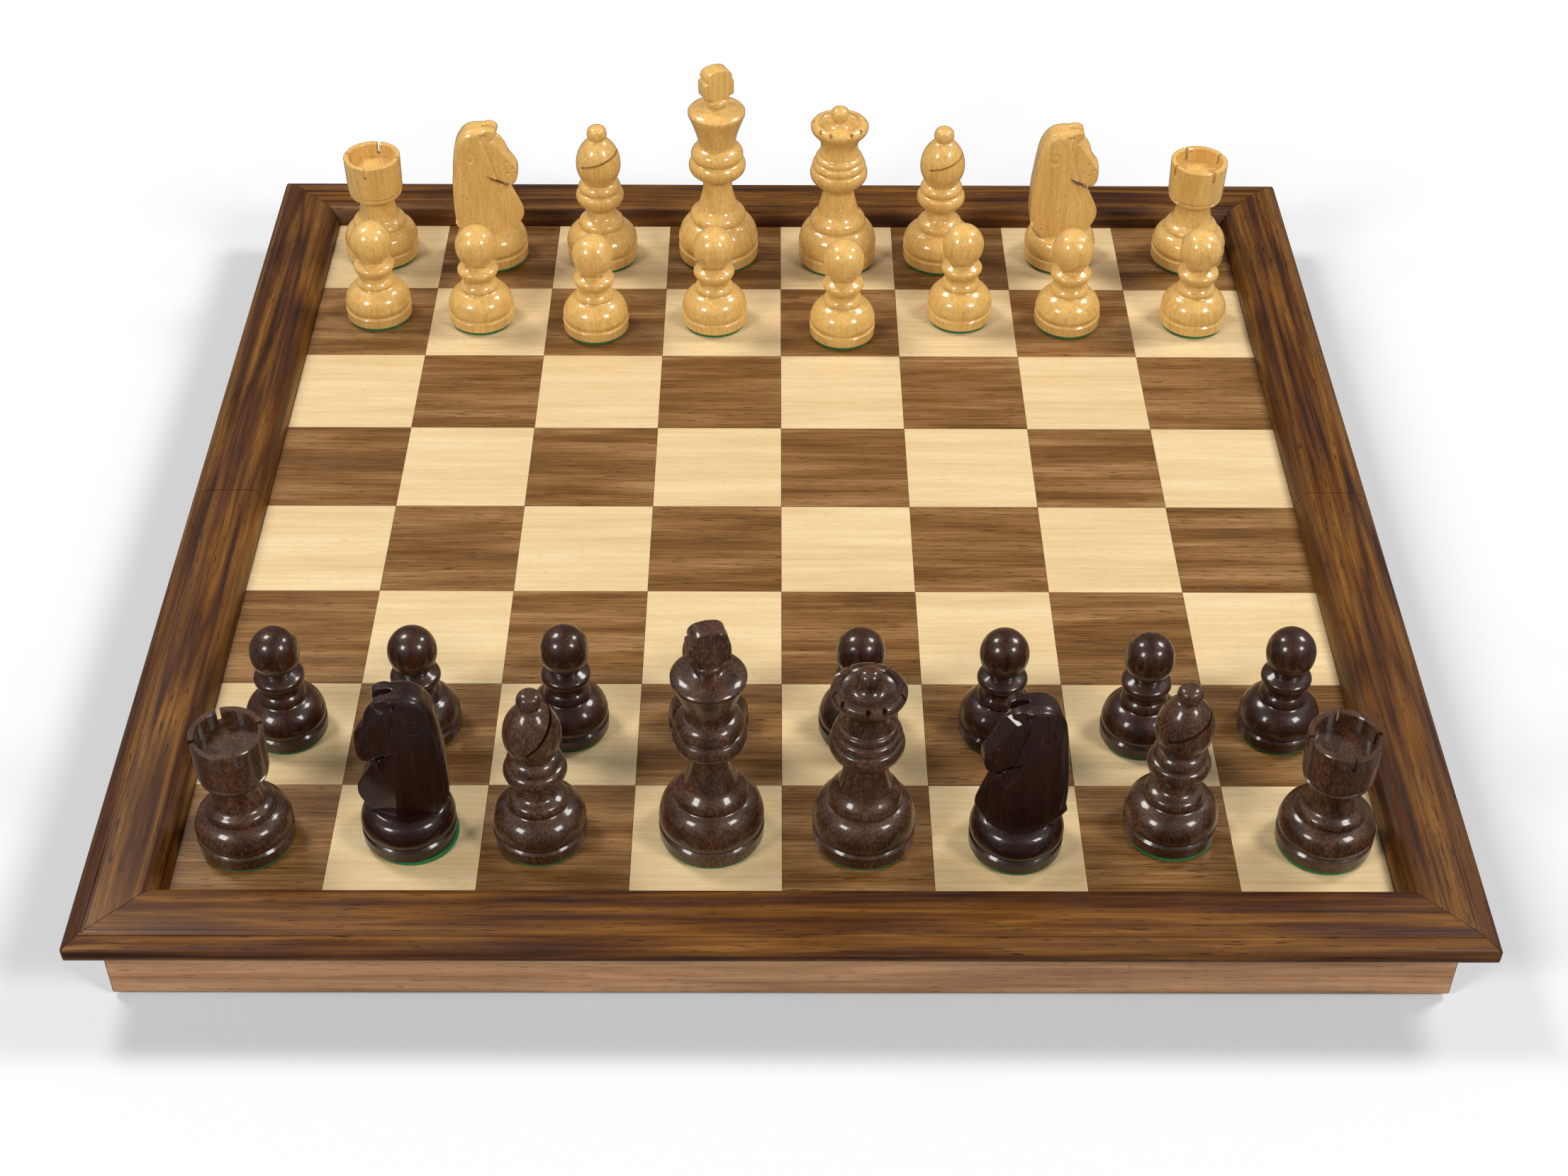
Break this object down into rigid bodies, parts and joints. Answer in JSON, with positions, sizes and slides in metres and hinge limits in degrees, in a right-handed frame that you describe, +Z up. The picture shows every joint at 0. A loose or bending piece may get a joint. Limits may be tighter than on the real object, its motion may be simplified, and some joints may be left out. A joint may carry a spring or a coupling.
{
  "type": "chess set with board",
  "caption": "Folding wooden chess board in a moulded walnut frame, with storage under both halves and a full set of felted turned pieces standing on it.",
  "frame": {"origin": "centre of the open board, on the surface that it stands on (the underside of the hinge barrels)", "axes": "+Z up; +X to the right of the dark player, along the fold; +Y from the dark army to the light army"},
  "size_m": [0.4056, 0.4056, 0.1072],
  "materials": {
    "walnut_moulding": "solid walnut, satin lacquer",
    "walnut_wall": "solid walnut, satin lacquer",
    "veneered_panel": "walnut and maple veneer squares, satin lacquer",
    "green_felt": "pressed wool felt",
    "brass": "polished",
    "nickel_magnet": "nickel plated",
    "boxwood": "turned and gloss lacquered",
    "dark_stained_wood": "turned, stained dark brown and gloss lacquered"
  },
  "bodies": {
    "far_half": {"far_end_rail": "walnut_moulding", "far_end_wall": "walnut_wall", "far_left_hinge_leaf": "brass", "far_left_magnet": "nickel_magnet", "far_left_rail": "walnut_moulding", "far_left_wall": "walnut_wall", "far_lining": "green_felt", "far_panel": "veneered_panel", "far_right_hinge_leaf": "brass", "far_right_magnet": "nickel_magnet", "far_right_rail": "walnut_moulding", "far_right_wall": "walnut_wall", "far_spine_wall": "walnut_wall", "left_hinge_pin": "brass", "right_hinge_pin": "brass"},
    "near_half": {"near_end_rail": "walnut_moulding", "near_end_wall": "walnut_wall", "near_left_hinge_leaf": "brass", "near_left_magnet": "nickel_magnet", "near_left_rail": "walnut_moulding", "near_left_wall": "walnut_wall", "near_lining": "green_felt", "near_panel": "veneered_panel", "near_right_hinge_leaf": "brass", "near_right_magnet": "nickel_magnet", "near_right_rail": "walnut_moulding", "near_right_wall": "walnut_wall", "near_spine_wall": "walnut_wall"},
    "dark_bishop_left": {"dark_bishop_left": "dark_stained_wood"},
    "dark_bishop_right": {"dark_bishop_right": "dark_stained_wood"},
    "dark_king": {"dark_king": "dark_stained_wood"},
    "dark_knight_left": {"dark_knight_left": "dark_stained_wood"},
    "dark_knight_right": {"dark_knight_right": "dark_stained_wood"},
    "dark_pawn_1": {"dark_pawn_1": "dark_stained_wood"},
    "dark_pawn_2": {"dark_pawn_2": "dark_stained_wood"},
    "dark_pawn_3": {"dark_pawn_3": "dark_stained_wood"},
    "dark_pawn_4": {"dark_pawn_4": "dark_stained_wood"},
    "dark_pawn_5": {"dark_pawn_5": "dark_stained_wood"},
    "dark_pawn_6": {"dark_pawn_6": "dark_stained_wood"},
    "dark_pawn_7": {"dark_pawn_7": "dark_stained_wood"},
    "dark_pawn_8": {"dark_pawn_8": "dark_stained_wood"},
    "dark_queen": {"dark_queen": "dark_stained_wood"},
    "dark_rook_left": {"dark_rook_left": "dark_stained_wood"},
    "dark_rook_right": {"dark_rook_right": "dark_stained_wood"},
    "light_bishop_left": {"light_bishop_left": "boxwood"},
    "light_bishop_right": {"light_bishop_right": "boxwood"},
    "light_king": {"light_king": "boxwood"},
    "light_knight_left": {"light_knight_left": "boxwood"},
    "light_knight_right": {"light_knight_right": "boxwood"},
    "light_pawn_1": {"light_pawn_1": "boxwood"},
    "light_pawn_2": {"light_pawn_2": "boxwood"},
    "light_pawn_3": {"light_pawn_3": "boxwood"},
    "light_pawn_4": {"light_pawn_4": "boxwood"},
    "light_pawn_5": {"light_pawn_5": "boxwood"},
    "light_pawn_6": {"light_pawn_6": "boxwood"},
    "light_pawn_7": {"light_pawn_7": "boxwood"},
    "light_pawn_8": {"light_pawn_8": "boxwood"},
    "light_queen": {"light_queen": "boxwood"},
    "light_rook_left": {"light_rook_left": "boxwood"},
    "light_rook_right": {"light_rook_right": "boxwood"}
  },
  "joints": [
    {"name": "board_fold", "type": "hinge", "parent": "far_half", "child": "near_half", "pos_m": [0, 0, 0.0012], "axis": [1, 0, 0], "range_deg": [0, 180]},
    {"name": "dark_bishop_left_lift", "type": "slide", "parent": "near_half", "child": "dark_bishop_left", "axis": [0, 0, 1], "range_m": [0, 0.12]},
    {"name": "dark_bishop_right_lift", "type": "slide", "parent": "near_half", "child": "dark_bishop_right", "axis": [0, 0, 1], "range_m": [0, 0.12]},
    {"name": "dark_king_lift", "type": "slide", "parent": "near_half", "child": "dark_king", "axis": [0, 0, 1], "range_m": [0, 0.12]},
    {"name": "dark_knight_left_lift", "type": "slide", "parent": "near_half", "child": "dark_knight_left", "axis": [0, 0, 1], "range_m": [0, 0.12]},
    {"name": "dark_knight_right_lift", "type": "slide", "parent": "near_half", "child": "dark_knight_right", "axis": [0, 0, 1], "range_m": [0, 0.12]},
    {"name": "dark_pawn_1_lift", "type": "slide", "parent": "near_half", "child": "dark_pawn_1", "axis": [0, 0, 1], "range_m": [0, 0.12]},
    {"name": "dark_pawn_2_lift", "type": "slide", "parent": "near_half", "child": "dark_pawn_2", "axis": [0, 0, 1], "range_m": [0, 0.12]},
    {"name": "dark_pawn_3_lift", "type": "slide", "parent": "near_half", "child": "dark_pawn_3", "axis": [0, 0, 1], "range_m": [0, 0.12]},
    {"name": "dark_pawn_4_lift", "type": "slide", "parent": "near_half", "child": "dark_pawn_4", "axis": [0, 0, 1], "range_m": [0, 0.12]},
    {"name": "dark_pawn_5_lift", "type": "slide", "parent": "near_half", "child": "dark_pawn_5", "axis": [0, 0, 1], "range_m": [0, 0.12]},
    {"name": "dark_pawn_6_lift", "type": "slide", "parent": "near_half", "child": "dark_pawn_6", "axis": [0, 0, 1], "range_m": [0, 0.12]},
    {"name": "dark_pawn_7_lift", "type": "slide", "parent": "near_half", "child": "dark_pawn_7", "axis": [0, 0, 1], "range_m": [0, 0.12]},
    {"name": "dark_pawn_8_lift", "type": "slide", "parent": "near_half", "child": "dark_pawn_8", "axis": [0, 0, 1], "range_m": [0, 0.12]},
    {"name": "dark_queen_lift", "type": "slide", "parent": "near_half", "child": "dark_queen", "axis": [0, 0, 1], "range_m": [0, 0.12]},
    {"name": "dark_rook_left_lift", "type": "slide", "parent": "near_half", "child": "dark_rook_left", "axis": [0, 0, 1], "range_m": [0, 0.12]},
    {"name": "dark_rook_right_lift", "type": "slide", "parent": "near_half", "child": "dark_rook_right", "axis": [0, 0, 1], "range_m": [0, 0.12]},
    {"name": "light_bishop_left_lift", "type": "slide", "parent": "far_half", "child": "light_bishop_left", "axis": [0, 0, 1], "range_m": [0, 0.12]},
    {"name": "light_bishop_right_lift", "type": "slide", "parent": "far_half", "child": "light_bishop_right", "axis": [0, 0, 1], "range_m": [0, 0.12]},
    {"name": "light_king_lift", "type": "slide", "parent": "far_half", "child": "light_king", "axis": [0, 0, 1], "range_m": [0, 0.12]},
    {"name": "light_knight_left_lift", "type": "slide", "parent": "far_half", "child": "light_knight_left", "axis": [0, 0, 1], "range_m": [0, 0.12]},
    {"name": "light_knight_right_lift", "type": "slide", "parent": "far_half", "child": "light_knight_right", "axis": [0, 0, 1], "range_m": [0, 0.12]},
    {"name": "light_pawn_1_lift", "type": "slide", "parent": "far_half", "child": "light_pawn_1", "axis": [0, 0, 1], "range_m": [0, 0.12]},
    {"name": "light_pawn_2_lift", "type": "slide", "parent": "far_half", "child": "light_pawn_2", "axis": [0, 0, 1], "range_m": [0, 0.12]},
    {"name": "light_pawn_3_lift", "type": "slide", "parent": "far_half", "child": "light_pawn_3", "axis": [0, 0, 1], "range_m": [0, 0.12]},
    {"name": "light_pawn_4_lift", "type": "slide", "parent": "far_half", "child": "light_pawn_4", "axis": [0, 0, 1], "range_m": [0, 0.12]},
    {"name": "light_pawn_5_lift", "type": "slide", "parent": "far_half", "child": "light_pawn_5", "axis": [0, 0, 1], "range_m": [0, 0.12]},
    {"name": "light_pawn_6_lift", "type": "slide", "parent": "far_half", "child": "light_pawn_6", "axis": [0, 0, 1], "range_m": [0, 0.12]},
    {"name": "light_pawn_7_lift", "type": "slide", "parent": "far_half", "child": "light_pawn_7", "axis": [0, 0, 1], "range_m": [0, 0.12]},
    {"name": "light_pawn_8_lift", "type": "slide", "parent": "far_half", "child": "light_pawn_8", "axis": [0, 0, 1], "range_m": [0, 0.12]},
    {"name": "light_queen_lift", "type": "slide", "parent": "far_half", "child": "light_queen", "axis": [0, 0, 1], "range_m": [0, 0.12]},
    {"name": "light_rook_left_lift", "type": "slide", "parent": "far_half", "child": "light_rook_left", "axis": [0, 0, 1], "range_m": [0, 0.12]},
    {"name": "light_rook_right_lift", "type": "slide", "parent": "far_half", "child": "light_rook_right", "axis": [0, 0, 1], "range_m": [0, 0.12]}
  ]
}
